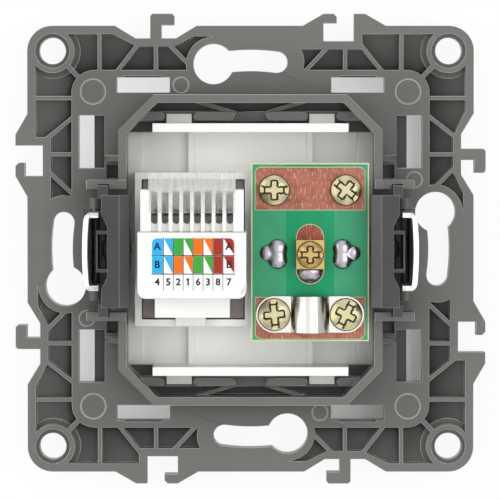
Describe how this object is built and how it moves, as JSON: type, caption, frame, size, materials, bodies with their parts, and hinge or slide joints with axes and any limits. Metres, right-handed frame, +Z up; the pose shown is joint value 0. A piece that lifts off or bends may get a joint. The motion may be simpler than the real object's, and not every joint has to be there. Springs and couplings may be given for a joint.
{
  "type": "tv and data wall socket",
  "caption": "Flush wall socket: square support frame with spreader claws and a snap-in insert that holds a data jack and a TV aerial port, wired from behind.",
  "frame": {"origin": "centre of the box screw keyholes and of the corner holes, in the wall plane", "axes": "+X to the right seen from behind, +Y out of the wall towards the room, +Z up"},
  "size_m": [0.0748, 0.0291, 0.0748],
  "materials": {
    "grey_plastic": "fine moulded grain",
    "white_plastic": "smooth",
    "black_plastic": "satin",
    "dark_plastic": "satin",
    "clear_plastic": "frosted clear",
    "insulator_white": "smooth",
    "zinc_steel": "zinc plated",
    "yellow_zinc": "yellow zinc plated",
    "nickel_plate": "nickel plated",
    "contact_brass": "plain",
    "copper_foil": "copper under varnish",
    "solder": "soft solder",
    "board_green": "varnished",
    "label_paper": "printed"
  },
  "bodies": {
    "body": {"support_frame": "grey_plastic", "insert_plate": "white_plastic", "claw_pin_left": "zinc_steel", "claw_pin_right": "zinc_steel", "jack_nose": "dark_plastic", "jack_latch": "white_plastic", "jack_board": "board_green", "port_contacts": "contact_brass", "idc_block": "white_plastic", "idc_contacts": "nickel_plate", "idc_cap": "clear_plastic", "label_cover": "white_plastic", "wiring_label": "label_paper", "tv_board": "board_green", "copper_lands": "copper_foil", "solder_joints": "solder", "board_screws": "yellow_zinc", "clamp_screws": "yellow_zinc", "cable_saddle": "nickel_plate", "terminal_clamp": "contact_brass", "terminal_screw": "contact_brass", "coax_barrel": "nickel_plate", "coax_insulator": "insulator_white", "coax_pin": "nickel_plate"},
    "claw_left": {"claw_left": "zinc_steel"},
    "claw_right": {"claw_right": "zinc_steel"},
    "claw_block_left": {"claw_block_left": "black_plastic"},
    "claw_block_right": {"claw_block_right": "black_plastic"},
    "claw_screw_left": {"claw_screw_left": "yellow_zinc", "screw_retainer_left": "zinc_steel"},
    "claw_screw_right": {"claw_screw_right": "yellow_zinc", "screw_retainer_right": "zinc_steel"}
  },
  "joints": [
    {"name": "claw_block_left_slide", "type": "slide", "parent": "body", "child": "claw_block_left", "axis": [0, 1, 0], "range_m": [0, 0.0055]},
    {"name": "claw_screw_left_turn", "type": "hinge", "parent": "body", "child": "claw_screw_left", "pos_m": [-0.0212, 0, 0], "axis": [0, -1, 0], "range_deg": [0, 3960]},
    {"name": "claw_left_swing", "type": "hinge", "parent": "body", "child": "claw_left", "pos_m": [-0.0246, -0.0017, 0], "axis": [0, 0, -1], "range_deg": [0, 35]},
    {"name": "claw_block_right_slide", "type": "slide", "parent": "body", "child": "claw_block_right", "axis": [0, 1, 0], "range_m": [0, 0.0055]},
    {"name": "claw_screw_right_turn", "type": "hinge", "parent": "body", "child": "claw_screw_right", "pos_m": [0.0212, 0, 0], "axis": [0, -1, 0], "range_deg": [0, 3960]},
    {"name": "claw_right_swing", "type": "hinge", "parent": "body", "child": "claw_right", "pos_m": [0.0246, -0.0017, 0], "axis": [0, 0, 1], "range_deg": [0, 35]}
  ],
  "couplings": [
    {"joint": "claw_screw_left_turn", "follows": "claw_block_left_slide", "rad_per_m": 12566},
    {"joint": "claw_left_swing", "follows": "claw_block_left_slide", "rad_per_m": 111.06},
    {"joint": "claw_screw_right_turn", "follows": "claw_block_right_slide", "rad_per_m": 12566},
    {"joint": "claw_right_swing", "follows": "claw_block_right_slide", "rad_per_m": 111.06}
  ]
}
